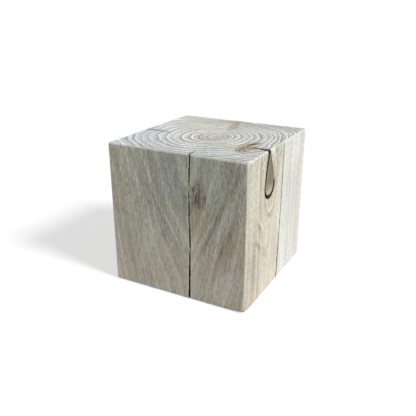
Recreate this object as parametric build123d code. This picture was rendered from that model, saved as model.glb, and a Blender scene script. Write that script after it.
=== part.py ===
from build123d import *

import os
from math import cos, pi

# A cube sawn from a square post, with the heart of the tree near its middle and the grain upright.
# Its front looks along -Y, X runs to the right along the front, and Z is up.
# The origin is the middle of the base. All sizes are millimetres, and angles are degrees.

# Block
WIDTH = 150.0  # along X
DEPTH = 150.0  # along Y
HEIGHT = 150.0  # along Z, with the grain
ARRIS = 2.0  # rounding of every edge

# Drying checks: wedge-shaped splits that run up a face with the grain and wander a little.
# A place is measured from the middle of the face, to the right as one looks at it.
CHECK_SLENDERNESS = 11.0  # how many times deeper a check is than its mouth is wide
CHECK_WAVE = 95.0  # height of one bend of the wandering line
CHECK_STATIONS = 9  # cross-sections that a check is drawn through

FRONT_CHECK_PLACE = 15.1  # at the base
FRONT_CHECK_DRIFT = 1.0  # further to the right at its upper end
FRONT_CHECK_WANDER = 0.4  # to each side of its line
FRONT_CHECK_FOOT = 2.2  # width of the mouth at the base
FRONT_CHECK_WAIST = 1.5  # at half its height
FRONT_CHECK_HEAD = 1.3  # at its upper end

RIGHT_CHECK_PLACE = 6.0
RIGHT_CHECK_DRIFT = 5.0
RIGHT_CHECK_WANDER = 0.4
RIGHT_CHECK_FOOT = 1.2
RIGHT_CHECK_WAIST = 0.8
RIGHT_CHECK_HEAD = 0.4
RIGHT_CHECK_STOP = 32.0  # it runs out this far below the top

LEFT_CHECK_PLACE = 8.4
LEFT_CHECK_DRIFT = 0.6
LEFT_CHECK_WANDER = 0.5
LEFT_CHECK_FOOT = 1.4
LEFT_CHECK_WAIST = 1.3
LEFT_CHECK_HEAD = 1.3

# Bark pocket in the right face: a drop-shaped hollow that hangs from the top edge
POCKET_PLACE = -24.0  # middle of its round tip, from the middle of the face
POCKET_TIP_RADIUS = 12.0
POCKET_LENGTH = 47.8  # from the top edge down to the end of the tip
POCKET_MOUTH = 5.0  # width where it opens through the top edge
POCKET_MOUTH_PLACE = -28.2
POCKET_DEPTH = 17.0
POCKET_FLOOR_RADIUS = 11.0  # of its tip, at the bottom of the hollow
POCKET_FLOOR_MOUTH = 1.6  # where the bottom of the hollow opens through the top

# Encased branch that fills the pocket up to an open seam
SEAM = 2.4  # width of the seam below its tip
BRANCH_LEAN = 0.8  # how far it lies to the right in the pocket, which widens the seam on its left
BRANCH_TOP_PLACE = -15.5  # at the top edge, where it has grown past the pocket's right wall
BRANCH_TOP_RADIUS = 7.0
BRANCH_RECESS = 0.5  # how far its end lies below the face

# Tools stand this far out of the block, so that they cut clear of its faces.
OVERCUT = 3.0

# Each face's own frame: X to its right, Y into the block and Z up, with its origin at the middle of the foot
FRONT = Location((0, -DEPTH / 2, 0))
RIGHT = Location((WIDTH / 2, 0, 0), (0, 0, 90))
LEFT = Location((-WIDTH / 2, 0, 0), (0, 0, -90))


def squared_block():
    block = Pos(0, 0, HEIGHT / 2) * Box(WIDTH, DEPTH, HEIGHT)
    return fillet(block.edges(), ARRIS)


def check_section(place, mouth, height):
    """The wedge across a check: straight cheeks outside the face and two walls that meet at its depth."""
    half = mouth / 2
    outline = Polyline(
        (place - half, -OVERCUT),
        (place + half, -OVERCUT),
        (place + half, 0),
        (place, mouth * CHECK_SLENDERNESS),
        (place - half, 0),
        close=True,
    )
    return Pos(0, 0, height) * make_face(outline)


def check_cutter(place, drift, wander, foot, waist, head, top):
    """A check from below the base up to top, drawn through level sections in its face's own frame."""
    bottom = -OVERCUT
    sections = []
    for station in range(CHECK_STATIONS):
        share = station / (CHECK_STATIONS - 1)
        height = bottom + share * (top - bottom)
        if share < 0.5:
            mouth = foot + (waist - foot) * 2 * share
        else:
            mouth = waist + (head - waist) * (2 * share - 1)
        bend = wander * cos(2 * pi * (HEIGHT - height) / CHECK_WAVE)
        sections.append(check_section(place + drift * share + bend, mouth, height))
    return loft(sections, ruled=True)


def drop(tip_place, tip_height, tip_radius, upper_place, upper_height, upper_radius):
    """An upright drop: a round tip below and a smaller round end above, joined by straight tangents."""
    tip = Pos(tip_place, tip_height) * Circle(tip_radius)
    upper = Pos(upper_place, upper_height) * Circle(upper_radius)
    return make_hull(tip.edges() + upper.edges())


def pocket_outline(tip_radius, mouth):
    height = HEIGHT - POCKET_LENGTH + POCKET_TIP_RADIUS
    return drop(POCKET_PLACE, height, tip_radius, POCKET_MOUTH_PLACE, HEIGHT, mouth / 2)


def encased_branch():
    """The branch in the right face's own frame, from its end just below the face to past the pocket's bottom."""
    outline = drop(
        POCKET_PLACE + BRANCH_LEAN,
        HEIGHT - POCKET_LENGTH + POCKET_TIP_RADIUS,
        POCKET_TIP_RADIUS - SEAM,
        BRANCH_TOP_PLACE,
        HEIGHT,
        BRANCH_TOP_RADIUS,
    )
    return extrude(Plane.XZ.offset(-BRANCH_RECESS) * outline, -(POCKET_DEPTH + OVERCUT))


def pocket_cutter():
    """The hollow round the branch, in the right face's own frame: the seam and the space before its end."""
    mouth = pocket_outline(POCKET_TIP_RADIUS, POCKET_MOUTH)
    floor = pocket_outline(POCKET_FLOOR_RADIUS, POCKET_FLOOR_MOUTH)
    sections = [
        Plane.XZ.offset(OVERCUT) * mouth,
        Plane.XZ * mouth,
        Plane.XZ.offset(-POCKET_DEPTH) * floor,
    ]
    return loft(sections, ruled=True) - encased_branch()


def wooden_cube():
    front_check = FRONT * check_cutter(
        FRONT_CHECK_PLACE,
        FRONT_CHECK_DRIFT,
        FRONT_CHECK_WANDER,
        FRONT_CHECK_FOOT,
        FRONT_CHECK_WAIST,
        FRONT_CHECK_HEAD,
        HEIGHT + OVERCUT,
    )
    right_check = RIGHT * check_cutter(
        RIGHT_CHECK_PLACE,
        RIGHT_CHECK_DRIFT,
        RIGHT_CHECK_WANDER,
        RIGHT_CHECK_FOOT,
        RIGHT_CHECK_WAIST,
        RIGHT_CHECK_HEAD,
        HEIGHT - RIGHT_CHECK_STOP,
    )
    left_check = LEFT * check_cutter(
        LEFT_CHECK_PLACE,
        LEFT_CHECK_DRIFT,
        LEFT_CHECK_WANDER,
        LEFT_CHECK_FOOT,
        LEFT_CHECK_WAIST,
        LEFT_CHECK_HEAD,
        HEIGHT + OVERCUT,
    )
    return squared_block() - front_check - right_check - left_check - RIGHT * pocket_cutter()


os.makedirs("parts", exist_ok=True)
export_step(wooden_cube(), "parts/wooden_cube.step")
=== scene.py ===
"""A weathered timber cube with growth rings, torn drying checks and an encased branch."""

import math
import random
from typing import NamedTuple

import bmesh
import bpy
import numpy as np
from bpy.props import FloatProperty, FloatVectorProperty, IntProperty, PointerProperty
from mathutils import Matrix, Vector, noise


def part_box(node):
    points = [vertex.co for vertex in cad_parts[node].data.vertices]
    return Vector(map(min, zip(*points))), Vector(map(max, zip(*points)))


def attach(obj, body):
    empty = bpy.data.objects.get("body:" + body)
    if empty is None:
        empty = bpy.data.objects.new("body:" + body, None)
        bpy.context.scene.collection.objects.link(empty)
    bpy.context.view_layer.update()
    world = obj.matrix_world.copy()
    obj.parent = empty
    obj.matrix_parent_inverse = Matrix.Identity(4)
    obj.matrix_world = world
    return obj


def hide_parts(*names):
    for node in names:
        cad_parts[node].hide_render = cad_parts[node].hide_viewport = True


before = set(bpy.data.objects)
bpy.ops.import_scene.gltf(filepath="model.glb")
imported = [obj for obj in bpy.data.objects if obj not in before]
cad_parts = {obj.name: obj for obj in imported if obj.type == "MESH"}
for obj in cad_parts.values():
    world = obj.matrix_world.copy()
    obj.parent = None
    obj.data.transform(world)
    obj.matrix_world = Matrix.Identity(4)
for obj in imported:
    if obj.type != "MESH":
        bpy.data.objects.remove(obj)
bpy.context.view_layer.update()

bl_info = {
    "name": "Weathered timber cube",
    "version": (1, 0, 0),
    "blender": (4, 5, 0),
    "location": "View3D > Sidebar > Timber",
    "description": "Dresses a solid timber cube with rings, checks and an encased branch",
    "category": "Object",
}

NODE = "wooden_cube"
BODY = "root"
MM = 0.001

# The block's own box, in metres. The front looks along -Y and the grain stands along Z.
LOW, HIGH = (Vector(corner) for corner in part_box(NODE))
WIDTH, DEPTH, HEIGHT = HIGH - LOW
MIDDLE = (LOW + HIGH) / 2

# Each face's own frame: X to its right, Y into the block and Z up, from the middle of its foot
FRONT = Matrix.Translation((0, LOW.y, LOW.z))
RIGHT = Matrix.Translation((HIGH.x, 0, LOW.z)) @ Matrix.Rotation(math.radians(90), 4, "Z")
LEFT = Matrix.Translation((LOW.x, 0, LOW.z)) @ Matrix.Rotation(math.radians(-90), 4, "Z")

# Half the block in millimetres, for the patterns, which count from the middle of the base
HALF_X = WIDTH / 2 / MM
HALF_Y = DEPTH / 2 / MM
HALF_Z = HEIGHT / 2 / MM
TOP = HEIGHT / MM

OVERCUT = 3 * MM  # how far a cutting shape stands out of the block


# Settings


def length_setting(name, description, millimetres):
    return FloatProperty(name=name, description=description, default=millimetres * MM, unit="LENGTH")


def angle_setting(name, description, degrees):
    return FloatProperty(name=name, description=description, default=math.radians(degrees), subtype="ANGLE")


def colour_setting(name, description, *levels):
    return FloatVectorProperty(name=name, description=description, default=levels, subtype="COLOR")


def mouth_setting(name, *millimetres):
    return FloatVectorProperty(
        name=name,
        description="Width of the check at its foot, its waist and its head",
        default=[width * MM for width in millimetres],
        unit="LENGTH",
    )


class BlockSettings(bpy.types.PropertyGroup):
    """The block's rings, relief and edges."""

    pith: FloatVectorProperty(
        name="Heart",
        description="Where the heart of the tree meets the top, from the middle of the block",
        size=2,
        default=(8 * MM, -5 * MM),
        unit="LENGTH",
    )
    ring_gap: length_setting("Ring gap", "From one ring to the next, on the right of the block", 6)
    ring_relief: length_setting("Ring relief", "How far the hard wood stands out of the end grain", 0.22)
    fibre_relief: length_setting("Fibre relief", "How far fibres stand out of the upright faces", 0.09)
    arris: length_setting("Worn edge", "Mean rounding of the edges", 1.5)
    lines_across: IntProperty(
        name="Lines across",
        description="Mesh lines across the grain on each face",
        default=140,
    )
    lines_along: IntProperty(
        name="Lines along",
        description="Mesh lines along the grain on each upright face",
        default=62,
    )


class CheckSettings(bpy.types.PropertyGroup):
    """The drying checks. A place counts from the middle of its face, to the right as one looks at it."""

    slenderness: FloatProperty(
        name="Slenderness",
        description="How many times deeper a check is than its mouth is wide",
        default=11,
    )
    wave: length_setting("Wave", "Height of one bend of a check's wandering line", 95)
    wander: length_setting("Wander", "How far a check bends to either side", 0.4)
    tear: length_setting("Tear", "How far torn fibres set a check's lips to and fro", 0.28)
    front_place: length_setting("Front place", "At the base", 15.1)
    front_drift: length_setting("Front drift", "Further to the right at the upper end", 1.0)
    front_mouth: mouth_setting("Front mouth", 2.2, 1.5, 1.3)
    right_place: length_setting("Right place", "At the base", 6.0)
    right_drift: length_setting("Right drift", "Further to the right at the upper end", 5.0)
    right_mouth: mouth_setting("Right mouth", 1.2, 0.8, 0.4)
    right_stop: length_setting("Right stop", "How far below the top the check runs out", 32)
    left_place: length_setting("Left place", "At the base", 8.4)
    left_drift: length_setting("Left drift", "Further to the right at the upper end", 0.6)
    left_mouth: mouth_setting("Left mouth", 1.4, 1.3, 1.3)


class PocketSettings(bpy.types.PropertyGroup):
    """The bark pocket in the right face and the branch that it holds."""

    place: length_setting("Place", "Middle of the round tip", -24)
    tip_radius: length_setting("Tip", "Radius of the round tip", 12)
    length: length_setting("Length", "From the top edge to the tip", 47.8)
    mouth: length_setting("Mouth", "Width through the top edge", 5)
    mouth_place: length_setting("Mouth place", "At the top edge", -28.2)
    depth: length_setting("Depth", "Into the right face", 17)
    floor_radius: length_setting("Floor tip", "Radius of the tip at the bottom of the hollow", 11)
    floor_mouth: length_setting("Floor mouth", "Width of the mouth at the bottom of the hollow", 1.6)
    rim: length_setting("Rim", "Width of the bark's cut edge", 1.0)
    rim_sink: length_setting("Rim sink", "How far that edge lies below the face", 0.3)
    seam: length_setting("Seam", "Width of the open seam round the branch", 2.4)
    lean: length_setting("Lean", "How far the branch lies to the right in its hollow", 0.8)
    branch_top_place: length_setting("Branch top place", "Middle of its upper end", -15.5)
    branch_top_radius: length_setting("Branch top", "Radius of its upper end", 7)
    recess: length_setting("Recess", "How far the branch's end lies below the face", 0.5)


class FibreSettings(bpy.types.PropertyGroup):
    """The torn fibres along the front check."""

    spacing: length_setting("Spacing", "From one fibre to the next along the lip", 1.1)
    length: length_setting("Length", "Of the longest fibre", 5)
    width: length_setting("Width", "Of the thickest fibre", 1.0)
    lift: angle_setting("Lift", "Most that a fibre stands off the face", 10)
    lean: angle_setting("Lean", "Most that a fibre leans across the gap", 15)
    seed: IntProperty(name="Seed", description="Of the drawn sizes and angles", default=4)


class FinishSettings(bpy.types.PropertyGroup):
    """The timber's colours, as they look in plain light."""

    heart: colour_setting("Heartwood", "Upright faces", 0.655, 0.60, 0.495)
    green: colour_setting("Greyed heartwood", "Its greener patches", 0.60, 0.62, 0.495)
    sap: colour_setting("Sapwood", "The pale outer wood", 0.80, 0.795, 0.745)
    end: colour_setting("End grain", "Top and base", 0.63, 0.635, 0.605)
    ring: colour_setting("Ring lines", "Hard wood in the end grain", 0.93, 0.94, 0.92)
    grey: colour_setting("Greyed wood", "Where rain and light have greyed it most", 0.36, 0.375, 0.315)
    # Bluish patches, and on the top a painted bluish sky sheen
    silver_and_sky_sheen: colour_setting("Silvered wood and painted sky sheen", "Bluish patches, and a painted sky sheen on the top", 0.60, 0.68, 0.74)
    warm: colour_setting("Pinkish wood", "Warmer patches", 0.66, 0.55, 0.44)
    # Also the pale edges, partly wear and partly a painted highlight
    pale: colour_setting("Pale streaks", "Bleached grain", 0.81, 0.815, 0.715)
    tan: colour_setting("Tan streaks", "Resinous grain", 0.55, 0.45, 0.30)
    gold: colour_setting("Branch heart", "Fresh wood round the branches", 0.60, 0.48, 0.29)
    brown: colour_setting("Branch wood", "Stains round the branches", 0.31, 0.225, 0.145)
    dark: colour_setting("Dark fibres", "The darkest stains", 0.10, 0.07, 0.048)
    torn: colour_setting("Torn fibres", "Fresh pale fibres", 0.85, 0.78, 0.62)
    # Near black inside the checks: painted shade
    split: colour_setting("Split walls in painted shade", "Inside the checks", 0.07, 0.046, 0.026)
    bark: colour_setting("Bark", "Walls of the pocket", 0.035, 0.027, 0.022)
    notch: colour_setting("Notch", "Walls of the pocket near the top", 0.18, 0.135, 0.095)
    branch: colour_setting("Encased branch", "Its darker upper part", 0.26, 0.22, 0.165)
    branch_tip: colour_setting("Branch tip", "Its paler tip", 0.52, 0.44, 0.30)


class StageSettings(bpy.types.PropertyGroup):
    """Light, floor and camera. A direction counts round the block from the front to the right."""

    key: FloatProperty(name="Key light", description="Strength of the sun", default=2.67)
    key_softness: angle_setting("Key softness", "How wide the sun looks", 12)
    key_azimuth: angle_setting("Key direction", "Round the block", 84)
    key_height: angle_setting("Key height", "Above the horizon", 41)
    fill: FloatProperty(name="Fill", description="Strength of the light from all round", default=0.3)
    camera_azimuth: angle_setting("Camera direction", "Round the block", 28.41)
    camera_height: angle_setting("Camera height", "Above the horizon", 21.63)
    camera_distance: FloatProperty(
        name="Camera distance",
        description="From the middle of the block along the view",
        default=3.715 * WIDTH,
        unit="LENGTH",
    )
    camera_offset: FloatVectorProperty(
        name="Camera offset",
        description="To the right and up, square to the view",
        size=2,
        default=(-0.0274 * WIDTH, -0.0369 * WIDTH),
        unit="LENGTH",
    )
    camera_focus: FloatProperty(name="Focal length", description="In pixels of the picture", default=515.9)


SETTINGS = {
    "timber_block": BlockSettings,
    "timber_checks": CheckSettings,
    "timber_pocket": PocketSettings,
    "timber_fibres": FibreSettings,
    "timber_finish": FinishSettings,
    "timber_stage": StageSettings,
}


# Node arithmetic, the same for materials and for geometry


class Term:
    """A number at each point of a surface. Arithmetic on it adds nodes to its tree."""

    def __init__(self, tree, socket):
        self.tree = tree
        self.socket = socket

    def math(self, operation, *others):
        """A further step of arithmetic, by the name that Blender gives it."""
        node = added(self.tree, "ShaderNodeMath", self, *others, operation=operation)
        return Term(self.tree, node.outputs[0])

    def __add__(self, other):
        return self.math("ADD", other)

    def __sub__(self, other):
        return self.math("SUBTRACT", other)

    def __mul__(self, other):
        return self.math("MULTIPLY", other)

    def __truediv__(self, other):
        return self.math("DIVIDE", other)

    def __pow__(self, other):
        return self.math("POWER", other)

    def flipped(self):
        """One less the term."""
        return self.math("MULTIPLY_ADD", -1.0, 1.0)

    def ramp(self, start, end, low=0.0, high=1.0):
        """A smooth step from low at start to high at end."""
        steps = (self, start, end, low, high)
        node = added(self.tree, "ShaderNodeMapRange", *steps, interpolation_type="SMOOTHSTEP")
        return Term(self.tree, node.outputs[0])


def feed(tree, socket, value):
    """Sets a socket to a number or colour, or links it to a term or to another socket."""
    if isinstance(value, Term):
        value = value.socket
    if isinstance(value, bpy.types.NodeSocket):
        tree.links.new(value, socket)
    else:
        socket.default_value = value


def added(tree, kind, *values, named=None, **settings):
    """A new node with these settings, whose inputs take values in their order or by name."""
    node = tree.nodes.new(kind)
    for name, value in settings.items():
        setattr(node, name, value)
    for socket, value in zip(node.inputs, values):
        feed(tree, socket, value)
    for name, value in (named or {}).items():
        feed(tree, node.inputs[name], value)
    return node


def in_millimetres(tree, position):
    """A place in metres, turned into millimetres."""
    return tinted(tree, position, 1 / MM)


def split(tree, place):
    """The three coordinates of a place."""
    return [Term(tree, output) for output in added(tree, "ShaderNodeSeparateXYZ", place).outputs]


def mottle(tree, place, across, along, detail=2.0, roughness=0.5, shift=0.0):
    """Noise about zero, with grains of these sizes in millimetres across and along the fibres."""
    scale = (1 / across, 1 / across, 1 / along)
    shifts = (shift, shift, shift)
    grains = added(tree, "ShaderNodeVectorMath", place, scale, shifts, operation="MULTIPLY_ADD").outputs[0]
    inputs = {"Vector": grains, "Scale": 1.0, "Detail": detail, "Roughness": roughness}
    return Term(tree, added(tree, "ShaderNodeTexNoise", named=inputs).outputs[0]) - 0.5


def streaks(tree, term, detail=3.0, roughness=0.6):
    """Noise about zero that depends on one number alone."""
    inputs = {"W": term, "Scale": 1.0, "Detail": detail, "Roughness": roughness}
    node = added(tree, "ShaderNodeTexNoise", named=inputs, noise_dimensions="1D")
    return Term(tree, node.outputs[0]) - 0.5


def lot(tree, term):
    """A number from 0 to 1 drawn for each whole number."""
    node = added(tree, "ShaderNodeTexWhiteNoise", named={"W": term}, noise_dimensions="1D")
    return Term(tree, node.outputs[0])


def blend(tree, share, first, second):
    """A share of the second colour over the first."""
    node = added(tree, "ShaderNodeMix", share, data_type="RGBA")
    for socket, colour in ((node.inputs[6], first), (node.inputs[7], second)):
        if not isinstance(colour, bpy.types.NodeSocket):
            colour = (*colour, 1.0)
        feed(tree, socket, colour)
    return node.outputs[2]


def tinted(tree, colour, value):
    """A colour or another row of three numbers, times a number."""
    node = added(tree, "ShaderNodeVectorMath", colour, named={"Scale": value}, operation="SCALE")
    return node.outputs[0]


SPOT_EDGE = 1.6  # square of how many reaches from its centre a spot ends


def spot(u, v, centre, reach, ragged=0.0):
    """1 at a centre, falling to nothing past its reach. A ragged term breaks up its edge."""
    a = (u - centre[0]) / reach[0]
    b = (v - centre[1]) / reach[1]
    return (a * a + b * b + ragged).ramp(0.0, SPOT_EDGE, 1.0, 0.0)


# The tree's growth, in millimetres from the middle of the base

WIDE_PULL = (-0.98, -0.2)  # the side on which the rings are widest
WIDE_GAIN = 0.42  # how much wider they are there
WIDE_FOCUS = 1.5  # how much that is held to this side
FRONT_AXIS = 15.8  # where the pattern on the front comes to a point
FRONT_OPENING = 0.36  # how steeply it crosses the rings to either side of that point
FRONT_OPENING_REACH = 40.0  # how far to either side it crosses them as steeply
FRONT_RISE = 0.125  # how steeply it crosses them downwards
FRONT_WIDE = 0.4  # how far its rings are widened, from 0 to 1
FRONT_SKIN = 25.0  # how deep it goes
FRONT_ENDS = (3.0, 0.5)  # how far from the upright edges it starts to fade and is gone
KNOT_PLACE = (-24.0, 118.0)  # encased branch on the right face
KNOT_REACH = (17.0, 36.0)
KNOT_SWELL = 11.0
STUB_PLACE = (25.0, 115.0)  # grown-over branch behind the front face
STUB_REACH = (9.0, 20.0)
STUB_SWELL = 2.5
BRANCH_SKIN = 45.0  # how deep the rings bulge round a branch
RING_WANDER = 12.0  # how far a ring strays from a circle in slow bends
END_WOBBLE = 2.5  # how much more the rings shake in the end grain
YEAR_CHANGE = 0.7  # how unlike the years are, and how soon they change
LATE_WOOD = (0.70, 0.85, 0.93, 1.0)  # shares of a year at which hard wood starts, is full, fades and ends
EARLY_WOOD = 0.55  # share of a year at which soft wood has gone
END_SKIN = (1.7, 0.6)  # how far from the top or the base end grain starts and is full


def ring_count(tree, place, block):
    """How many growth rings lie between the heart and each point. They bulge round the branches."""
    x, y, z = split(tree, place)
    end = end_grain(z)
    dx = x - block.pith[0] / MM
    dy = y - block.pith[1] / MM
    radius = (dx * dx + dy * dy + 0.01) ** 0.5
    wide = ((dx * WIDE_PULL[0] + dy * WIDE_PULL[1]) / radius * 0.5 + 0.5) ** WIDE_FOCUS
    inside = x.math("ABSOLUTE").ramp(HALF_X - FRONT_ENDS[0], HALF_X - FRONT_ENDS[1], 1.0, 0.0)
    front = y.ramp(-HALF_Y, -HALF_Y + FRONT_SKIN, 1.0, 0.0) * end.flipped() * inside
    aside = (x - FRONT_AXIS).math("ABSOLUTE")
    opening = aside / (aside / FRONT_OPENING_REACH + 1.0) * FRONT_OPENING
    vee = (aside * aside + dy * dy) ** 0.5 + opening - (z - TOP) * FRONT_RISE
    radius = radius + (vee - radius) * front
    wide = wide + (wide * -1.0 + FRONT_WIDE) * front
    knot = spot(y, z, KNOT_PLACE, KNOT_REACH) * x.ramp(HALF_X - BRANCH_SKIN, HALF_X)
    stub = spot(x, z, STUB_PLACE, STUB_REACH) * y.ramp(-HALF_Y, -HALF_Y + BRANCH_SKIN, 1.0, 0.0)
    wobble = mottle(tree, place, 8, 80, 2.0, 0.55) * (end * END_WOBBLE + 1.0)
    wander = mottle(tree, place, 42, 150, 1.0) * RING_WANDER + wobble
    gap = (wide * WIDE_GAIN + 1.0) * (block.ring_gap / MM)
    count = (radius + wander - knot * KNOT_SWELL - stub * STUB_SWELL) / gap
    return count + streaks(tree, count * YEAR_CHANGE, 1.0) * YEAR_CHANGE


def late_wood(rings):
    """The pale hard line at the end of each year's growth."""
    start, full, fade, gone = LATE_WOOD
    turn = rings.math("FRACT")
    return turn.ramp(start, full) * turn.ramp(fade, gone, 1.0, 0.0)


def early_wood(rings):
    """The dark soft line at the start of each year's growth."""
    return rings.math("FRACT").ramp(0.0, EARLY_WOOD, 1.0, 0.0)


def end_grain(z):
    """1 on the top and the base, 0 on the upright faces."""
    return (z - HALF_Z).math("ABSOLUTE").ramp(HALF_Z - END_SKIN[0], HALF_Z - END_SKIN[1])


# Finishes


def fresh_material(name):
    """A new material, its tree, its shader and the place of each point in millimetres."""
    material = bpy.data.materials.new(name)
    material.use_nodes = True
    tree = material.node_tree
    shader = tree.nodes["Principled BSDF"]
    place = added(tree, "ShaderNodeTexCoord").outputs["Object"]
    return material, tree, shader, in_millimetres(tree, place)


def bump(tree, shader, height, distance, strength):
    inputs = {"Strength": strength, "Distance": distance, "Height": height}
    tree.links.new(added(tree, "ShaderNodeBump", named=inputs).outputs[0], shader.inputs["Normal"])


class Stain(NamedTuple):
    """A stain on a face, in millimetres across and up it. It leans aside by its slant for each one up."""

    centre: tuple
    reach: tuple
    colour: str
    strength: float
    torn: float = 0.0
    slant: float = 0.0


# The front is greyed towards the top.
FRONT_STAINS = (
    Stain((20, 150), (75, 80), "grey", 0.50),
    Stain((-50, 10), (45, 60), "pale", 0.18),
    Stain((0, 122), (16, 26), "silver_and_sky_sheen", 0.18),
    Stain((5, 51), (9, 9), "grey", 0.28, 0.2),
    Stain((-60, 32), (16, 42), "warm", 0.36, 0.2),
    Stain((-70, 92), (8, 22), "warm", 0.36, 0.2),
    Stain((-34, 18), (9, 11), "warm", 0.30, 0.2),
    Stain((60, 62), (12, 13), "warm", 0.60, 0.2),
    Stain((55, 28), (18, 15), "silver_and_sky_sheen", 0.18),
    Stain((27, 82), (10, 20), "tan", 0.60, 0.2, 0.3),
    Stain((31, 68), (3, 30), "pale", 0.35, 0.1, 0.45),
    Stain((47, 95), (2.8, 48), "brown", 0.58, 0.3, 0.45),
    Stain((52, 90), (2.5, 44), "pale", 0.26, 0.1, 0.42),
    Stain((56, 63), (8, 36), "brown", 0.44, 0.4, 0.36),
    Stain((54, 70), (3, 28), "brown", 0.50, 0.4, 0.36),
    Stain((-29, 126), (2.0, 27), "pale", 0.50, 0.1, -0.35),
    Stain((-7, 78), (2.0, 29), "pale", 0.50, 0.1, -0.57),
    Stain((-12, 78), (2.4, 28), "grey", 0.30, 0.2, -0.57),
    Stain((-39, 105), (3, 50), "pale", 0.34, 0.2, -0.33),
    Stain((-50, 125), (3, 35), "pale", 0.30, 0.2, -0.2),
    Stain((24.5, 113), (10, 15), "brown", 0.62, 0.5),
    Stain((24, 115), (9, 11), "dark", 0.90, 1.0),
    Stain((28, 106), (5, 7), "dark", 0.60, 0.7),
)

# The right is brown round the pocket, with curls of grain below it and rain streaks along the check.
RIGHT_STAINS = (
    Stain((-24, 116), (26, 46), "brown", 0.22, 0.2),
    Stain((-35, 75), (60, 110), "pale", 0.07),
    Stain((-55, 35), (22, 60), "brown", 0.14, 0.5, 0.2),
    Stain((-46, 79), (2.8, 9), "brown", 0.65, 0.4, -0.8),
    Stain((-41, 81), (2.2, 8), "pale", 0.65, 0.3, -0.8),
    Stain((-48, 61), (2.8, 8), "brown", 0.65, 0.4, -0.9),
    Stain((-43, 64), (2.2, 7), "pale", 0.70, 0.3, -0.9),
    Stain((-30, 47), (4, 7), "brown", 0.40, 0.5),
    Stain((-20, 60), (16, 70), "brown", 0.18, 0.6),
    Stain((4, 70), (6, 60), "pale", 0.40),
    Stain((-17, 144), (4.5, 9), "pale", 0.60),
    Stain((10.5, 132), (2.2, 24), "brown", 0.50),
    Stain((7.3, 28), (1.6, 42), "brown", 0.75, 0.2, 0.042),
    Stain((9.6, 85), (1.1, 42), "brown", 0.60, 0.2, 0.042),
    Stain((-11, 113), (3, 8), "brown", 0.70, 0.5, 0.3),
    Stain((62, 60), (9, 120), "tan", 0.22),
)

# The top has a painted bluish sky sheen and is whitened on its left, and tan at its heart. Branches cross
# it as dark strokes.
TOP_STAINS = (
    # Painted bluish sky sheen on the top's front left
    Stain((-62, -48), (42, 46), "silver_and_sky_sheen", 0.45),
    Stain((-60, 60), (30, 26), "pale", 0.40),
    Stain((-12, 40), (40, 40), "warm", 0.30, 0.3),
    Stain((10, -64), (80, 16), "silver_and_sky_sheen", 0.15),
    Stain((4, -6), (20, 15), "tan", 0.35, 0.6),
    Stain((-7, -10), (3.5, 13), "tan", 0.60, 0.4, -0.5),
    Stain((13, -6), (7, 8), "gold", 0.45, 0.5),
    Stain((35, -30), (13, 11), "tan", 0.40, 0.6),
    Stain((-34, -70), (12, 6), "tan", 0.50, 0.5),
    Stain((68, -26), (9, 4), "brown", 0.60, 0.4),
    Stain((0, 66), (80, 22), "grey", 0.30),
    Stain((52, -28), (13, 20), "tan", 0.55, 0.4),
    Stain((48, -22), (6, 10), "gold", 0.90, 0.3),
    Stain((53, -33), (8, 14), "brown", 0.95, 0.8),
    Stain((58.5, -28), (4, 7), "brown", 0.90, 0.5),
    Stain((53.5, -14.5), (3.2, 8), "dark", 1.00, 0.1, 0.48),
    Stain((50, -32), (4.5, 7), "dark", 1.00, 0.9),
    Stain((51, -42), (4.5, 6), "dark", 0.90, 0.7),
    Stain((-1, 54), (5, 26), "gold", 0.65, 0.5, -0.22),
    Stain((3, 50), (5, 24), "brown", 0.65, 0.9, -0.22),
    Stain((-60, -9), (18, 1.7), "dark", 0.95),
    Stain((15.5, -70), (1.8, 12), "tan", 0.60),
)


SAP_CENTRE = (-5.0, -25.0)  # what the pale outer wood lies round, in millimetres
SAP_RADIUS = 86.3  # how far from there it starts, at the base
SAP_TAPER = 0.0155  # how much further out it starts per millimetre of height
SAP_SOFTNESS = (9.0, 0.5)  # half the width of its inner edge, on the left and on the right


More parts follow.
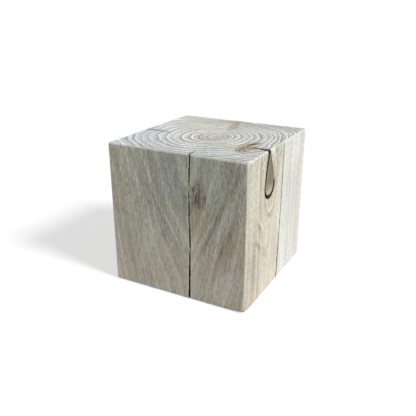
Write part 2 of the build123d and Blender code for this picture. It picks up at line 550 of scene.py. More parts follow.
class Grain:
    """The patterns in the timber that its colours, its light and dark and its relief share."""

    def __init__(self, tree, place, block):
        self.x, self.y, self.z = split(tree, place)
        rings = ring_count(tree, place, block)
        self.late = late_wood(rings)
        self.early = early_wood(rings)
        self.year = lot(tree, rings.math("FLOOR"))
        self.end = end_grain(self.z)
        self.right = self.x.ramp(HALF_X - 4, HALF_X - 1)

        # Bundles of fibres, single fibres and pores, and broad patches
        self.strand = mottle(tree, place, 2.4, 70, 2.0, 0.6, shift=1.9)
        self.fibre = mottle(tree, place, 1.0, 36, 2.0, 0.6)
        self.fine = mottle(tree, place, 0.5, 4, 1.0, 0.6, shift=7.3)
        self.cloud = mottle(tree, place, 30, 80, 2.0, shift=3.1)
        self.patch = mottle(tree, place, 26, 60, 1.0, shift=11.7)

        # Streaks that follow the rings, and rays that run out from the heart
        self.bands = streaks(tree, rings * 1.3, 1.5)
        self.lines = streaks(tree, rings * 5.5 + self.strand * 1.5, 2.0, 0.7)
        self.reeds = streaks(tree, rings * 2.4 + self.strand * 0.4, 1.0)
        turn = (self.y - block.pith[1] / MM).math("ARCTAN2", self.x - block.pith[0] / MM)
        self.rays = streaks(tree, turn * 50.0 + self.strand * 2.0, 2.0, 0.7)

    def sapwood(self):
        """1 in the pale outer wood, which starts with a crisp line on the right and fades in elsewhere."""
        back = self.y - SAP_CENTRE[1]
        reach = ((self.x - SAP_CENTRE[0]) ** 2.0 + back * back.math("MAXIMUM", 0.0)) ** 0.5
        soft = self.x.ramp(-HALF_X, HALF_X, *SAP_SOFTNESS)
        edge = reach - self.z * SAP_TAPER + self.fibre * 2.5 - SAP_RADIUS
        return edge.ramp(soft * -1.0, soft)

    def colour(self, tree, sapwood, finish):
        """Heartwood and sapwood on the upright faces, and pale hard rings in the end grain."""
        warmth = self.z.ramp(20, 125, 0.75, 0.2) + self.x.ramp(40, HALF_X, 0.0, 0.5) + self.patch * 2.0
        upright = blend(tree, warmth.math("MINIMUM", 1.0), finish.green, finish.heart)
        upright = blend(tree, sapwood * 0.9, upright, finish.sap)
        worn = self.year * 0.4 + self.patch + self.strand * 2.0 + self.fine * 2.0
        hard = self.late * self.end * (worn + self.x.ramp(-30, 30, 0.90, 0.65))
        return blend(tree, hard, blend(tree, self.end, upright, finish.end), finish.ring)

    def side_value(self, sapwood):
        """How light or dark the grain makes the upright faces."""
        value = self.bands * 0.6 + self.lines * (self.right * 0.1 + 0.4)
        value = value + self.strand * (self.right * 0.3 + 0.2) + self.reeds * self.right * 0.35
        value = value + (self.fibre * 0.5 + self.fine * 1.5) * self.z.ramp(20, 130, 0.9, 1.2)
        value = value + self.cloud * 0.6 + self.late * (self.right * -0.14 + 0.09)
        return value * (sapwood * -0.30 + 1.0) + self.right * -0.02 + 1.02

    def end_value(self):
        """How light or dark the grain makes the end grain."""
        value = self.early * self.x.ramp(-50, 20, -0.26, -0.45) * (self.strand * 2.5 + 1.0)
        value = value + self.bands * 0.6 + self.lines * 0.8 + self.rays * 0.5
        return value + self.strand * 0.7 + self.fibre * 1.3 + self.fine * 1.1 + self.cloud * 0.5 + 1.06


def timber_material(block, finish):
    """The weathered outside of the block."""
    material, tree, shader, place = fresh_material("weathered timber")
    grain = Grain(tree, place, block)
    sapwood = grain.sapwood()
    colour = stained(tree, grain.colour(tree, sapwood, finish), place, finish)
    side_value = grain.side_value(sapwood)
    value = side_value + (grain.end_value() - side_value) * grain.end
    # Pale edges all round: partly wear, partly a painted highlight
    edge_wear_and_highlight = edge_wear_and_highlight_mask(grain.x, grain.y, grain.z) * (grain.strand * 2.0 + 0.45)
    colour = blend(tree, edge_wear_and_highlight, tinted(tree, colour, value), finish.pale)
    tree.links.new(colour, shader.inputs["Base Color"])
    feed(tree, shader.inputs["Roughness"], grain.fibre * 0.3 + 0.74)
    shader.inputs["Specular IOR Level"].default_value = 0.3
    relief = grain.fibre + grain.fine * 0.7 + grain.lines * 0.3 + grain.late * 0.25
    bump(tree, shader, relief, 0.2 * MM, 0.4)
    return material


EDGE_BAND = (3.2, 0.4)  # how far from an edge of the block the pale edge, partly wear and partly a painted highlight, starts and is full


def edge_wear_and_highlight_mask(x, y, z):
    """1 along the block's edges, which are paler by wear and by a painted highlight, falling off over the
    last few millimetres of each face.
    """
    start, full = EDGE_BAND
    by_x = x.math("ABSOLUTE").ramp(HALF_X - start, HALF_X - full)
    by_y = y.math("ABSOLUTE").ramp(HALF_Y - start, HALF_Y - full)
    by_z = (z - HALF_Z).math("ABSOLUTE").ramp(HALF_Z - start, HALF_Z - full)
    return (by_x * by_y).math("MAXIMUM", by_x * by_z).math("MAXIMUM", by_y * by_z)


SIDE_STAIN_DEPTH = 12.0  # how deep a stain goes into an upright face
TOP_STAIN_DEPTH = 6.0


def stained(tree, colour, place, finish):
    """Lays the stains over a colour. Torn ones break up along the fibres."""
    x, y, z = split(tree, place)
    side_fibres = mottle(tree, place, 1.2, 9, 2.0, 0.6, shift=5.5)
    end_fibres = mottle(tree, place, 2.2, 50, 2.0, 0.6, shift=6.1)
    ragged = mottle(tree, place, 3.5, 24, 2.0, 0.6, shift=8.2) * 4
    faces = (
        (FRONT_STAINS, x, z, y.ramp(-HALF_Y, -HALF_Y + SIDE_STAIN_DEPTH, 1.0, 0.0), side_fibres),
        (RIGHT_STAINS, y, z, x.ramp(HALF_X - SIDE_STAIN_DEPTH, HALF_X), side_fibres),
        (TOP_STAINS, x, y, z.ramp(TOP - TOP_STAIN_DEPTH, TOP), end_fibres),
    )
    for stains, aside, up, near, fibres in faces:
        for stain in stains:
            across = aside
            if stain.slant:
                across = aside - (up - stain.centre[1]) * stain.slant
            share = spot(across, up, stain.centre, stain.reach, ragged * stain.torn) * near * stain.strength
            if stain.torn:
                share = share * fibres.ramp(-0.06, 0.10, 1 - stain.torn, 1.0)
            colour = blend(tree, share, colour, getattr(finish, stain.colour))
    return colour


def rough_material(name, lower, upper, change, fibre_sizes, contrast, depth):
    """Torn or weathered wood that changes from one colour to another between two heights."""
    material, tree, shader, place = fresh_material(name)
    z = split(tree, place)[2]
    fibre = mottle(tree, place, *fibre_sizes, 3.0, 0.65)
    colour = blend(tree, (z + fibre * 14).ramp(*change), lower, upper)
    tree.links.new(tinted(tree, colour, fibre * contrast + 1.0), shader.inputs["Base Color"])
    feed(tree, shader.inputs["Roughness"], fibre * 0.4 + 0.82)
    shader.inputs["Specular IOR Level"].default_value = 0.2
    bump(tree, shader, fibre, depth, 0.8)
    return material


def torn_material(name, finish):
    """Fresh torn wood, the same on the lips of the checks and on the loose fibres."""
    return rough_material(name, finish.torn, finish.torn, (0, TOP), (0.8, 6), 0.8, 0.1 * MM)


# Meshes

SURFACE = "surface"  # the number of the finish that a face takes
TIMBER, SPLIT, HOLLOW, BARK, BRANCH, TORN = range(6)
WELD = 1e-7  # points nearer than this are one


def linked_object(name, data):
    """An object in the scene with this mesh, lamp or camera."""
    thing = bpy.data.objects.new(name, data)
    bpy.context.scene.collection.objects.link(thing)
    return thing


def closed_mesh(name, points, faces, surface=TIMBER, frame_matrix=Matrix.Identity(4)):
    """A closed mesh with its faces outwards and of one finish, from points in a face's own frame."""
    mesh = bpy.data.meshes.new(name)
    mesh.from_pydata([frame_matrix @ Vector(point) for point in points], [], faces)
    work = bmesh.new()
    work.from_mesh(mesh)
    bmesh.ops.remove_doubles(work, verts=work.verts, dist=WELD)
    bmesh.ops.recalc_face_normals(work, faces=work.faces)
    work.to_mesh(mesh)
    work.free()
    return mark(mesh, [surface] * len(mesh.polygons))


def mark(mesh, numbers):
    """Keeps on each face which finish it takes."""
    kept = mesh.attributes.get(SURFACE) or mesh.attributes.new(SURFACE, "INT", "FACE")
    kept.data.foreach_set("value", numbers)
    return mesh


def stacked(rows):
    """Faces of a tube through rows of equally many points, closed at both ends by one face each."""
    count = len(rows[0])
    points = [point for row in rows for point in row]
    faces = []
    for level in range(len(rows) - 1):
        below = level * count
        above = below + count
        for i in range(count):
            j = (i + 1) % count
            faces.append([below + i, below + j, above + j, above + i])
    faces.append(list(range(count)))
    faces.append(list(range(len(points) - count, len(points))))
    return points, faces


KNOCKED_CORNER = Vector((HIGH.x, LOW.y, LOW.z))

# How far each kind of wear reaches, and how much it adds to the rounding of an edge
SLOW_WEAR = (19 * MM, 0.35)
QUICK_WEAR = (6 * MM, 0.18)
FOOT_WEAR = (12 * MM, 0.3)
KNOCK_WEAR = (10 * MM, 1.8)

EDGE_LINES = np.array([0.0, 0.15, 0.4, 0.7, 1.0, 1.4])  # mesh lines along an edge, counted in its rounding


def face_lines(length, count, arris):
    """Places of mesh lines across a face, with more of them along the two rounded edges."""
    edge = length / 2 - arris * EDGE_LINES
    inner = np.linspace(-edge[-1], edge[-1], count - 2 * len(edge) + 2)
    return np.concatenate([-edge, inner[1:-1], edge[::-1]])


def worn_radius(point, arris):
    """The rounding of an edge near a point. It varies, and is greatest at the knocked corner."""
    wave = sum(noise.noise(point / reach) * gain for reach, gain in (SLOW_WEAR, QUICK_WEAR))
    foot = max(0.0, 1 - (point.z - LOW.z) / FOOT_WEAR[0]) * FOOT_WEAR[1]
    knock = math.exp(-(((point - KNOCKED_CORNER).length / KNOCK_WEAR[0]) ** 2)) * KNOCK_WEAR[1]
    return arris * (1 + wave + foot + knock)


def worn(point, arris):
    """A point of the sharp block, brought in to the worn edge if it lies near one."""
    radius = worn_radius(point, arris)
    inner = Vector()
    for axis in range(3):
        inner[axis] = min(max(point[axis], LOW[axis] + radius), HIGH[axis] - radius)
    out = point - inner
    return inner + out.normalized() * radius


def block_mesh(block):
    """The block's outside as a fine grid with worn edges."""
    xs = face_lines(WIDTH, block.lines_across, block.arris) + MIDDLE.x
    ys = face_lines(DEPTH, block.lines_across, block.arris) + MIDDLE.y
    zs = face_lines(HEIGHT, block.lines_along, block.arris) + MIDDLE.z
    points = []
    faces = []

    def sheet(first, second, lay):
        """One side of the block, with its points laid from two rows of places."""
        start = len(points)
        for a in first:
            points.extend(worn(Vector(lay(a, b)), block.arris) for b in second)
        wide = len(second)
        for i in range(len(first) - 1):
            for j in range(wide - 1):
                corner = start + i * wide + j
                faces.append([corner, corner + wide, corner + wide + 1, corner + 1])

    for x in (LOW.x, HIGH.x):
        sheet(ys, zs, lambda a, b, x=x: (x, a, b))
    for y in (LOW.y, HIGH.y):
        sheet(xs, zs, lambda a, b, y=y: (a, y, b))
    for z in (LOW.z, HIGH.z):
        sheet(xs, ys, lambda a, b, z=z: (a, b, z))
    return closed_mesh("block shell", points, faces)


CHECK_STEP = 1.1 * MM  # from one cross-section of a check to the next
TEAR_LENGTHS = (2.5, 13)  # shortest and longest torn stretch of a lip, in millimetres
TEAR_END = 0.8 * MM  # how soon one stretch turns into the next
TEAR_LIMIT = 0.3  # most tear, as a share of the mouth
LIP = 0.2 * MM  # how far the right lip of a check is rubbed off
TORN_LIP = 1.2 * MM  # how far its left lip is torn off
TORN_LIP_GRAIN = 7 * MM  # how soon that varies
BELLY = 0.45  # share of its depth at which a check's walls bow


def torn_line(heights, draw):
    """Offsets to and fro along a lip, from -1 to 1, each held for the length of a few torn fibres."""
    places = [heights[0]]
    while places[-1] < heights[-1]:
        places.append(places[-1] + draw.uniform(*TEAR_LENGTHS) * MM)
    offsets = [draw.uniform(-1, 1) for _ in places]
    ends = [place - TEAR_END for place in places[1:]] + [places[-1] + TEAR_END]
    ramps = [value for pair in zip(places, ends) for value in pair]
    return np.interp(heights, ramps, [offset for offset in offsets for _ in range(2)])


class Check(NamedTuple):
    """One check in its face's own frame."""

    face: Matrix
    place: float
    drift: float
    mouth: tuple
    top: float
    seed: int


def check_lips(check, checks):
    """Heights along a check, its two torn lips, the line of its bottom and its depth."""
    draw = random.Random(check.seed)
    heights = np.arange(-OVERCUT, check.top, CHECK_STEP)
    share = (heights + OVERCUT) / (check.top + OVERCUT)
    bend = checks.wander * np.cos(2 * math.pi * (HEIGHT - heights) / checks.wave)
    middle = check.place + check.drift * share + bend
    width = np.interp(share, (0, 0.5, 1), check.mouth)
    tear = np.minimum(checks.tear, width * TEAR_LIMIT)
    left = middle - width / 2 + torn_line(heights, draw) * tear
    right = middle + width / 2 + torn_line(heights, draw) * tear
    bottom = middle + torn_line(heights, draw) * tear
    return heights, left, right, bottom, width * checks.slenderness


def check_mesh(name, check, checks):
    """The space inside a check: a torn wedge from below the base upwards."""
    rows = []
    for height, left, right, bottom, depth in zip(*check_lips(check, checks)):
        ragged = noise.noise(Vector((height / TORN_LIP_GRAIN, check.seed, 0)))
        torn = TORN_LIP * max(0.1, 0.6 + ragged)
        section = (
            (left - torn, -OVERCUT),
            (right + LIP, -OVERCUT),
            (right + LIP, 0),
            (right, LIP * 2),
            ((bottom + right) / 2, depth * BELLY),
            (bottom, depth),
            ((bottom + left) / 2, depth * BELLY),
            (left, LIP * 1.6),
            (left - torn, 0),
        )
        rows.append([(aside, inwards, height) for aside, inwards in section])
    points, faces = stacked(rows)
    mesh = closed_mesh(name, points, faces, SPLIT, check.face)
    left_lip = len(rows[0]) - 2
    return mark(mesh, [TORN if k % len(rows[0]) == left_lip else SPLIT for k in range(len(faces))])


def block_checks(checks):
    """The checks in the front, the right and the left."""
    over = HEIGHT + OVERCUT
    stop = HEIGHT - checks.right_stop
    return (
        Check(FRONT, checks.front_place, checks.front_drift, checks.front_mouth, over, 3),
        Check(RIGHT, checks.right_place, checks.right_drift, checks.right_mouth, stop, 5),
        Check(LEFT, checks.left_place, checks.left_drift, checks.left_mouth, over, 8),
    )


DRAWN_POINTS = 720  # points of an outline as it is first drawn
OUTLINE_POINTS = 132  # points of it in a mesh
WALL_STEPS = (0.0, 0.04, 0.1, 0.2, 0.35, 0.5, 0.65, 0.8, 0.9, 1.0)  # shares of the pocket's depth
WALL_ROUGHNESS = (0.45 * MM, 4 * MM)  # how far bark stands out of the walls, and how soon that varies
GROWN_IN = 0.12  # from this share of the way up, the branch and the hollow's right wall are one
BRANCH_STEPS = (0.6, 0.3)  # shares of the pocket's depth at which the branch's sides have a row of points
BRANCH_SHOULDER = 2.4 * MM  # depth at which its worn end begins
BRANCH_ROUGHNESS = (0.3 * MM, 5 * MM)
BRANCH_FACE = (0.06, 0.2, 0.4, 0.6, 0.8, 0.95)  # steps over its flat end, as shares of the way in
# The whole end from its outline inwards: the share of the way to its middle, and how far it is worn there
BRANCH_END = ((0.0, 0.4 * MM), (0.02, 0.12 * MM), *((share, 0.0) for share in BRANCH_FACE))
RIDGE = 0.3 * MM  # how far fibres stand out of the branch's end
RIDGE_SIZE = (1.3 * MM, 16 * MM)  # across and along the fibres


def drop_outline(tip, tip_radius, upper, upper_radius):
    """Points round an upright drop: a round tip below, a smaller round end above and straight sides."""
    tip = np.array(tip)
    run = np.array(upper) - tip
    lean = math.atan2(run[1], run[0])
    half = math.acos((tip_radius - upper_radius) / np.hypot(*run))
    points = []
    for k in range(DRAWN_POINTS):
        angle = 2 * math.pi * k / DRAWN_POINTS
        off = turned(angle, lean)
        way = np.array((math.cos(angle), math.sin(angle)))
        if off > half:
            points.append(tip + tip_radius * way)
        else:
            points.append(np.array(upper) + upper_radius * way)
    return spaced_outline(np.array(points))


def turned(angle, other):
    """How far one angle lies from another, either way round."""
    return abs((angle - other + math.pi) % (2 * math.pi) - math.pi)


def spaced_outline(points):
    """The same closed outline with its points spaced evenly."""
    closed = np.vstack([points, points[:1]])
    steps = np.hypot(*np.diff(closed, axis=0).T)
    along = np.concatenate([[0], np.cumsum(steps)])
    wanted = np.linspace(0, along[-1], OUTLINE_POINTS, endpoint=False)
    return np.column_stack([np.interp(wanted, along, closed[:, axis]) for axis in range(2)])


def rough_row(outline, depth, reach, grain):
    """An outline at a depth in a face, with its points moved to and fro by bark-like roughness."""
    row = []
    centre = outline.mean(axis=0)
    for u, v in outline:
        shift = noise.noise(Vector((u, depth, v)) / grain) * reach
        out = Vector((u - centre[0], v - centre[1])).normalized() * shift
        row.append((u + out.x, depth, v + out.y))
    return row


def tip_height(pocket):
    """Of the middle of the pocket's round tip above the base."""
    return HEIGHT - pocket.length + pocket.tip_radius


def pocket_outlines(pocket):
    """The hollow's outline at the face and at its bottom."""
    tip = (pocket.place, tip_height(pocket))
    upper = (pocket.mouth_place, HEIGHT)
    mouth = drop_outline(tip, pocket.tip_radius, upper, pocket.mouth / 2)
    floor = drop_outline(tip, pocket.floor_radius, upper, pocket.floor_mouth / 2)
    return mouth, floor


def pocket_mesh(pocket):
    """The hollow that the branch lies in, with rough bark walls, in the right face's own frame."""
    mouth, floor = pocket_outlines(pocket)
    rows = []
    for share in WALL_STEPS:
        outline = mouth * (1 - share) + floor * share
        rows.append(rough_row(outline, share * pocket.depth, *WALL_ROUGHNESS))
    rows.insert(0, [(u, -OVERCUT, v) for u, _, v in rows[0]])
    mesh = closed_mesh("bark pocket", *stacked(rows), HOLLOW, RIGHT)
    tip = Vector((pocket.place, LOW.z + tip_height(pocket)))
    upper = Vector((pocket.mouth_place, HIGH.z))
    numbers = []
    for face in mesh.polygons:
        share = (face.center.z - tip.y) / (upper.y - tip.y)
        grown_in = share > GROWN_IN and face.center.y > tip.x + (upper.x - tip.x) * share
        numbers.append(BRANCH if grown_in else HOLLOW)
    return mark(mesh, numbers)


# Round the middle of the pocket's tip, from the right of the face upwards
THICK_BARK = math.radians(230)  # where the bark is thickest
BARE = math.radians(60)  # middle of the stretch without bark
BARE_HALF = math.radians(38)
BARE_FADE = math.radians(14)  # over which the bark sets in to either side
BARK_GRAIN = 2.5 * MM
BARK_SLICE = 7.7  # which slice of the noise roughens its edge
RIM_UNDERCUT = 0.6 * MM  # how far the rim's outline draws back where there is no bark


def bark_share(pocket, u, v):
    """How much bark a point of the outline keeps: most below the tip, none where the branch grew in."""
    angle = math.atan2(v - tip_height(pocket), u - pocket.place)
    thick = 0.75 + 0.25 * math.cos(angle - THICK_BARK)
    kept = min(max((turned(angle, BARE) - BARE_HALF) / BARE_FADE, 0), 1)
    return thick * kept + noise.noise(Vector((u, BARK_SLICE, v)) / BARK_GRAIN) * 0.25 * kept


def rim_mesh(pocket):
    """The cut edge of the bark round the hollow."""
    mouth, _ = pocket_outlines(pocket)
    shares = np.array([bark_share(pocket, *point) for point in mouth])
    run = np.roll(mouth, -1, axis=0) - np.roll(mouth, 1, axis=0)
    out = np.column_stack([run[:, 1], -run[:, 0]]) / np.hypot(*run.T)[:, None]
    rim = mouth + out * (shares * (pocket.rim + RIM_UNDERCUT) - RIM_UNDERCUT)[:, None]
    rows = [[(u, depth, v) for u, v in rim] for depth in (-OVERCUT, pocket.rim_sink)]
    return closed_mesh("bark rim", *stacked(rows), BARK, RIGHT)


def branch_mesh(pocket):
    """The encased branch, worn round its end. It has grown into the hollow's right wall near the top."""
    tip = np.array((pocket.place + pocket.lean, tip_height(pocket)))
    upper = (pocket.branch_top_place, HEIGHT)
    outline = drop_outline(tip, pocket.tip_radius - pocket.seam, upper, pocket.branch_top_radius)
    depths = [pocket.depth + OVERCUT, *(pocket.depth * share for share in BRANCH_STEPS), BRANCH_SHOULDER]
    rows = [rough_row(outline, depth, *BRANCH_ROUGHNESS) for depth in depths]
    for inset, depth in BRANCH_END:
        row = []
        for u, v in outline + (tip - outline) * inset:
            ridge = noise.noise(Vector((u / RIDGE_SIZE[0], 4.0, v / RIDGE_SIZE[1])))
            row.append((u, pocket.recess + depth + ridge * min(1.0, inset * 8) * RIDGE, v))
        rows.append(row)
    mesh = closed_mesh("encased branch", *stacked(rows), BRANCH, RIGHT)
    return mark(mesh, [BRANCH if face.normal.x > 0.5 else BARK for face in mesh.polygons])


# Height, width and thickness of a torn fibre at its root, its belly, its waist and its point
SLIVER = ((-0.15, 0.5, 0.3), (0.1, 1.0, 0.6), (0.6, 0.7, 0.4), (1.0, 0.08, 0.05))


def sliver_mesh():
    """A torn fibre of unit length and width, standing on its root."""
    rows = []
    for height, wide, thick in SLIVER:
        u = wide / 2
        v = thick / 2
        rows.append([(-u, -v, height), (u, -v, height), (u, v, height), (-u, v, height)])
    return closed_mesh("sliver", *stacked(rows))


# Heights between which the front check's left lip is frayed, in millimetres
FRAYED = ((50, 56), (100, 113), (114, 120), (124, 129), (136, 147))
ROOT = 0.1 * MM  # depth of a fibre's root


def lip_mesh(check, checks):
    """The frayed stretches of a check's left lip, as lines."""
    heights, left, *_ = check_lips(check, checks)
    points = []
    edges = []
    for start, end in FRAYED:
        first = len(points)
        for height, lip in zip(heights, left):
            if start * MM < height < end * MM:
                points.append(check.face @ Vector((lip - LIP, ROOT, height)))
        edges.extend((i, i + 1) for i in range(first, len(points) - 1))
    mesh = bpy.data.meshes.new("frayed lip")
    mesh.from_pydata(points, edges, [])
    return mesh


# Geometry trees


def geometry_tree(name, *inputs):
    """A tree with these named inputs after its geometry, and its input and output nodes."""
    tree = bpy.data.node_groups.new(name, "GeometryNodeTree")
    tree.interface.new_socket("Geometry", in_out="INPUT", socket_type="NodeSocketGeometry")
    tree.interface.new_socket("Geometry", in_out="OUTPUT", socket_type="NodeSocketGeometry")
    for title, kind in inputs:
        tree.interface.new_socket(title, in_out="INPUT", socket_type=kind)
    return tree, tree.nodes.new("NodeGroupInput"), tree.nodes.new("NodeGroupOutput")


def evaluated_mesh(thing, tree, values):
    """Runs a tree on an object with these inputs and leaves the result as its plain mesh."""
    modifier = thing.modifiers.new(tree.name, "NODES")
    modifier.node_group = tree
    for item in tree.interface.items_tree:
        if item.in_out == "INPUT" and item.name in values:
            modifier[item.identifier] = values[item.name]
    graph = bpy.context.evaluated_depsgraph_get()
    made = bpy.data.meshes.new_from_object(thing.evaluated_get(graph), depsgraph=graph)
    thing.modifiers.remove(modifier)
    thing.data = made
    return made


CHECKS = ("Front check", "Right check", "Left check")
HOLLOWS = ("Bark pocket", "Bark rim")
CUTTERS = (*CHECKS, *HOLLOWS, "Encased branch")


def difference(tree, solid, tools):
    """A solid with the tools cut out of it."""
    node = added(tree, "GeometryNodeMeshBoolean", solid, operation="DIFFERENCE", solver="MANIFOLD")
    for tool in tools:
        tree.links.new(tool, node.inputs["Mesh 2"])
    return node.outputs["Mesh"]


def object_geometry(tree, thing):
    return added(tree, "GeometryNodeObjectInfo", thing).outputs["Geometry"]


def block_tree(block, finishes):
    """Raises the rings and fibres out of the block's faces and opens its checks and pocket."""
    tree, given, result = geometry_tree(
        "Timber block",
        ("Ring relief", "NodeSocketFloat"),
        ("Fibre relief", "NodeSocketFloat"),
        *((name, "NodeSocketObject") for name in CUTTERS),
    )
    place = in_millimetres(tree, added(tree, "GeometryNodeInputPosition").outputs[0])
    z = split(tree, place)[2]
    rings = ring_count(tree, place, block)
    end = end_grain(z)
    ridges = (late_wood(rings) - 1.0) * end * given.outputs["Ring relief"]
    fibres = mottle(tree, place, 3.2, 60, 2.0) * 2 + streaks(tree, rings * 1.7) * 1.5 - 0.8
    fibres = fibres * end.flipped() * given.outputs["Fibre relief"]
    push = tinted(tree, added(tree, "GeometryNodeInputNormal").outputs[0], ridges + fibres)
    moved = added(tree, "GeometryNodeSetPosition", given.outputs["Geometry"], named={"Offset": push})

    tools = {name: object_geometry(tree, given.outputs[name]) for name in CUTTERS}
    checks = [tools[name] for name in CHECKS]
    hollows = [difference(tree, tools[name], [tools["Encased branch"]]) for name in HOLLOWS]
    geometry = difference(tree, moved.outputs[0], [*checks, *hollows])

    geometry = added(tree, "GeometryNodeSetShadeSmooth", geometry).outputs[0]
    geometry = added(tree, "GeometryNodeRealizeInstances", geometry).outputs[0]
    surface = added(tree, "GeometryNodeInputNamedAttribute", SURFACE, data_type="INT")
    for number, finish in enumerate(finishes):
        same = added(tree, "FunctionNodeCompare", data_type="INT", operation="EQUAL")
        feed(tree, same.inputs[2], surface.outputs[0])
        feed(tree, same.inputs[3], number)
        inputs = {"Selection": same.outputs[0], "Material": finish}
        geometry = added(tree, "GeometryNodeSetMaterial", geometry, named=inputs).outputs[0]
    tree.links.new(geometry, result.inputs[0])
    return tree


def fibre_tree(finish):
    """Stands slivers along lines, each with its own length, lift off the face and lean across the gap."""
    tree, given, result = geometry_tree(
        "Frayed fibres",
        ("Sliver", "NodeSocketObject"),
        ("Spacing", "NodeSocketFloat"),
        ("Length", "NodeSocketFloat"),
        ("Width", "NodeSocketFloat"),
        ("Lift", "NodeSocketFloat"),
        ("Lean", "NodeSocketFloat"),
        ("Seed", "NodeSocketInt"),
    )

    def drawn(low, high):
        """A number drawn for each fibre."""
        node = added(tree, "FunctionNodeRandomValue", named={"Seed": given.outputs["Seed"]})
        feed(tree, node.inputs[2], low)
        feed(tree, node.inputs[3], high)
        return node.outputs[1]

    def three(*values):
        return added(tree, "ShaderNodeCombineXYZ", *values).outputs[0]

    curve = added(tree, "GeometryNodeMeshToCurve", given.outputs["Geometry"])
    inputs = {"Curve": curve.outputs[0], "Length": given.outputs["Spacing"]}
    points = added(tree, "GeometryNodeResampleCurve", named=inputs, mode="LENGTH")
    sizes = ("Width", "Length", "Lift", "Lean")
    width, length, lift, lean = (Term(tree, given.outputs[name]) for name in sizes)
    turn = three(drawn(0.0, lift), drawn(lean * -0.3, lean), 0.0)
    thick = drawn(width * 0.5, width)
    inputs = {
        "Points": points.outputs[0],
        "Instance": object_geometry(tree, given.outputs["Sliver"]),
        "Rotation": turn,
        "Scale": three(thick, thick, drawn(length * 0.35, length)),
    }
    stand = added(tree, "GeometryNodeInstanceOnPoints", named=inputs)
    real = added(tree, "GeometryNodeRealizeInstances", stand.outputs[0])
    paint = added(tree, "GeometryNodeSetMaterial", real.outputs[0], named={"Material": finish})
    tree.links.new(paint.outputs[0], result.inputs[0])
    return tree


# Operators

SHARP_EDGE = math.radians(42)  # faces that meet at more than this are shaded with an edge


class TIMBER_OT_block(bpy.types.Operator):
    """Builds the weathered block with its rings, checks and encased branch"""

    bl_idname = "timber.block"
    bl_label = "Weathered block"

    def execute(self, context):
        scene = context.scene
        block = scene.timber_block
        checks = scene.timber_checks
        pocket = scene.timber_pocket
        finish = scene.timber_finish
        finishes = [
            timber_material(block, finish),
            # The check walls take a near-black colour, painted shade of the deep narrow checks
            rough_material("split walls in painted shade", finish.split, finish.split, (0, TOP), (0.8, 12), 1.6, 0.5 * MM),
            rough_material("hollow walls", finish.bark, finish.notch, (112, 130), (1.5, 6), 1.4, 0.6 * MM),
            rough_material("bark", finish.bark, finish.notch, (112, 150), (1.5, 3), 1.8, 0.8 * MM),
            # The branch is pale at its tip and darker from there up
            rough_material(
                "encased branch", finish.branch_tip, finish.branch, (106, 118), (2.0, 24), 3.0, 0.5 * MM
            ),
            torn_material("torn lips", finish),
        ]
        meshes = [check_mesh(name, check, checks) for name, check in zip(CHECKS, block_checks(checks))]
        meshes += [pocket_mesh(pocket), rim_mesh(pocket), branch_mesh(pocket)]
        tools = {name: linked_object(name, mesh) for name, mesh in zip(CUTTERS, meshes)}
        shell = linked_object("weathered_block", block_mesh(block))
        values = {"Ring relief": block.ring_relief, "Fibre relief": block.fibre_relief, **tools}
        made = evaluated_mesh(shell, block_tree(block, finishes), values)
        if len(made.polygons) < block.lines_across**2:
            raise RuntimeError("the block came out empty")
        made.set_sharp_from_angle(angle=SHARP_EDGE)
        for tool in tools.values():
            bpy.data.objects.remove(tool)
        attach(shell, BODY)
        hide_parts(NODE)
        return {"FINISHED"}


class TIMBER_OT_fibres(bpy.types.Operator):
    """Sets torn fibres along the frayed lip of the front check"""

    bl_idname = "timber.fibres"
    bl_label = "Frayed fibres"

    def execute(self, context):
        fibres = context.scene.timber_fibres
        checks = context.scene.timber_checks
        lip = linked_object("frayed_fibres", lip_mesh(block_checks(checks)[0], checks))
        sliver = linked_object("sliver", sliver_mesh())
        pale = torn_material("torn fibres", context.scene.timber_finish)
        values = {
            "Sliver": sliver,
            "Spacing": fibres.spacing,
            "Length": fibres.length,
            "Width": fibres.width,
            "Lift": fibres.lift,
            "Lean": fibres.lean,
            "Seed": fibres.seed,
        }
        made = evaluated_mesh(lip, fibre_tree(pale), values)
        if not made.polygons:
            raise RuntimeError("no fibre was made")
        bpy.data.objects.remove(sliver)
        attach(lip, BODY)
        return {"FINISHED"}


class TIMBER_OT_stage(bpy.types.Operator):
    """Sets the floor, the light and the camera"""

    bl_idname = "timber.stage"
    bl_label = "Stage"

    def execute(self, context):
        stage = context.scene.timber_stage
        context.scene.view_settings.view_transform = "Standard"
        floor = linked_object("floor", floor_mesh())
        floor.data.materials.append(floor_material())
        context.scene.world = studio_world(stage)
        key_lamp(stage)
        context.scene.camera = photo_camera(stage)
        return {"FINISHED"}


# Stage

FLOOR_REACH = 4.0  # from the middle of the floor to its sides, in metres
FLOOR_GREY = (0.5, 0.5, 0.5, 1)
FLOOR_GLOW = 0.58  # what it gives off to the camera, so that it looks white in the light
WHITE = (1, 1, 1, 1)
PHOTO_PIXELS = 416  # width of the picture that the camera's focal length is counted in
NEAREST = 0.01  # nearest that the camera sees, in metres


def floor_mesh():
    mesh = bpy.data.meshes.new("floor")
    corners = [(x * FLOOR_REACH, y * FLOOR_REACH, LOW.z) for x, y in ((-1, -1), (1, -1), (1, 1), (-1, 1))]
    mesh.from_pydata(corners, [], [(0, 1, 2, 3)])
    return mesh


def seen_share(tree):
    """1 for rays from the camera, seen straight, in a reflection or through glass."""
    path = added(tree, "ShaderNodeLightPath")
    kinds = ("Is Camera Ray", "Is Glossy Ray", "Is Transmission Ray")
    camera, glossy, through = (Term(tree, path.outputs[kind]) for kind in kinds)
    return camera.math("MAXIMUM", glossy).math("MAXIMUM", through)


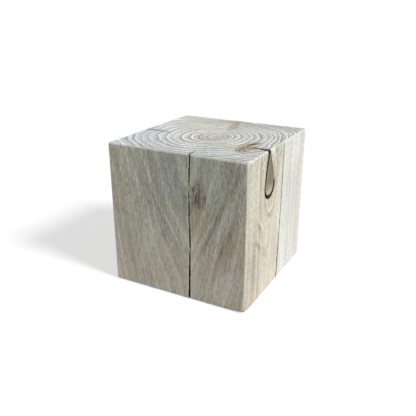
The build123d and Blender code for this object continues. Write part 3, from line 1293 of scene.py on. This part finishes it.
def floor_material():
    """A white floor that stays white to the camera and keeps a pale shadow."""
    material = bpy.data.materials.new("pale floor")
    material.use_nodes = True
    tree = material.node_tree
    tree.nodes.remove(tree.nodes["Principled BSDF"])
    matt = added(tree, "ShaderNodeBsdfDiffuse", FLOOR_GREY)
    glow = added(tree, "ShaderNodeEmission", named={"Strength": seen_share(tree) * FLOOR_GLOW})
    both = added(tree, "ShaderNodeAddShader", matt.outputs[0], glow.outputs[0])
    tree.links.new(both.outputs[0], tree.nodes["Material Output"].inputs["Surface"])
    return material


def studio_world(stage):
    """White all round to the camera, and a weaker fill for the block."""
    world = bpy.data.worlds.new("studio")
    world.use_nodes = True
    tree = world.node_tree
    strength = seen_share(tree).ramp(0.0, 1.0, stage.fill, 1.0)
    background = tree.nodes["Background"]
    background.inputs["Color"].default_value = WHITE
    feed(tree, background.inputs["Strength"], strength)
    return world


def round_the_block(azimuth, height):
    """The way out from the block to something round it, with azimuth from the front to the right."""
    level = math.cos(height)
    return Vector((math.sin(azimuth) * level, -math.cos(azimuth) * level, math.sin(height)))


def key_lamp(stage):
    lamp = bpy.data.lights.new("key", "SUN")
    lamp.energy = stage.key
    lamp.angle = stage.key_softness
    thing = linked_object("key", lamp)
    way = round_the_block(stage.key_azimuth, stage.key_height)
    thing.location = MIDDLE + way
    thing.rotation_euler = (-way).to_track_quat("-Z", "Y").to_euler()


def photo_camera(stage):
    camera = bpy.data.cameras.new("camera")
    camera.lens = stage.camera_focus / PHOTO_PIXELS * camera.sensor_width
    camera.clip_start = NEAREST
    thing = linked_object("camera", camera)
    back = round_the_block(stage.camera_azimuth, stage.camera_height)
    right = Vector((math.cos(stage.camera_azimuth), math.sin(stage.camera_azimuth), 0))
    up = back.cross(right)
    aside, above = stage.camera_offset
    thing.location = MIDDLE + back * stage.camera_distance + right * aside + up * above
    thing.rotation_euler = (-back).to_track_quat("-Z", "Y").to_euler()
    return thing


# Panel and registration


class TIMBER_PT_sidebar(bpy.types.Panel):
    """Lists what the cube is made of"""

    bl_idname = "TIMBER_PT_sidebar"
    bl_label = "Timber cube"
    bl_space_type = "VIEW_3D"
    bl_region_type = "UI"
    bl_category = "Timber"

    def draw(self, context):
        for operator in OPERATORS:
            self.layout.operator(operator.bl_idname)
        for name, settings in SETTINGS.items():
            box = self.layout.box()
            box.label(text=settings.__doc__)
            for field in settings.__annotations__:
                box.prop(getattr(context.scene, name), field)


OPERATORS = (TIMBER_OT_block, TIMBER_OT_fibres, TIMBER_OT_stage)
CLASSES = (*SETTINGS.values(), *OPERATORS, TIMBER_PT_sidebar)


def register():
    for kind in CLASSES:
        bpy.utils.register_class(kind)
    for name, settings in SETTINGS.items():
        setattr(bpy.types.Scene, name, PointerProperty(type=settings))


def unregister():
    for name in SETTINGS:
        delattr(bpy.types.Scene, name)
    for kind in reversed(CLASSES):
        bpy.utils.unregister_class(kind)


def main():
    register()
    bpy.ops.timber.block()
    bpy.ops.timber.fibres()
    bpy.ops.timber.stage()


if __name__ == "__main__":
    main()
